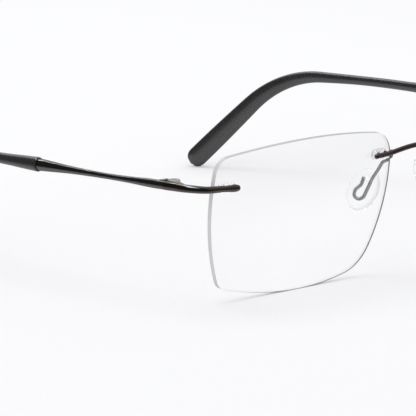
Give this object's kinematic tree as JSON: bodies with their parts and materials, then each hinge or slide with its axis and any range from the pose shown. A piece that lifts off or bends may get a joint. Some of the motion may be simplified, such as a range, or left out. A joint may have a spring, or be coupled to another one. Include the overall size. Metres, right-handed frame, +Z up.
{
  "type": "rimless eyeglasses",
  "caption": "Rimless eyeglasses: rectangular clear lenses pinned through clear bushes to a slim bridge and endpieces, wire nose-pad arms, folding temples with soft tips.",
  "frame": {"origin": "on the table that the glasses rest on, in the middle of their width and depth", "axes": "+X to the wearer's left, +Y from the lenses back along the open temples, +Z up"},
  "size_m": [0.1408, 0.122, 0.033],
  "materials": {
    "clear_lens": "polished, clear, with a matt edge",
    "black_metal": "gloss black plating",
    "clear_plastic": "clear, moulded",
    "wire": "dark plated wire",
    "silicone": "clear soft silicone",
    "hinge_metal": "satin nickel silver",
    "screw_steel": "satin",
    "tip_rubber": "matt black"
  },
  "bodies": {
    "front": {"bridge": "black_metal", "lens_right": "clear_lens", "lens_left": "clear_lens", "endpiece_right": "black_metal", "endpiece_left": "black_metal", "endpiece_bush_right": "clear_plastic", "endpiece_bush_left": "clear_plastic", "bridge_bush_right": "clear_plastic", "bridge_bush_left": "clear_plastic", "pad_arm_right": "wire", "pad_arm_left": "wire", "nose_pad_right": "silicone", "nose_pad_left": "silicone", "hinge_front_leaf_right": "hinge_metal", "hinge_front_leaf_left": "hinge_metal", "hinge_screw_right": "screw_steel", "hinge_screw_left": "screw_steel"},
    "temple_arm_right": {"temple_right": "black_metal", "temple_tip_right": "tip_rubber", "hinge_rear_leaf_right": "hinge_metal"},
    "temple_arm_left": {"temple_left": "black_metal", "temple_tip_left": "tip_rubber", "hinge_rear_leaf_left": "hinge_metal"}
  },
  "joints": [
    {"name": "temple_fold_right", "type": "hinge", "parent": "front", "child": "temple_arm_right", "pos_m": [-0.0653, -0.04698, 0.02547], "axis": [0, 0, -1], "range_deg": [0, 74]},
    {"name": "temple_fold_left", "type": "hinge", "parent": "front", "child": "temple_arm_left", "pos_m": [0.0653, -0.04698, 0.02547], "axis": [0, 0, 1], "range_deg": [0, 82]}
  ]
}
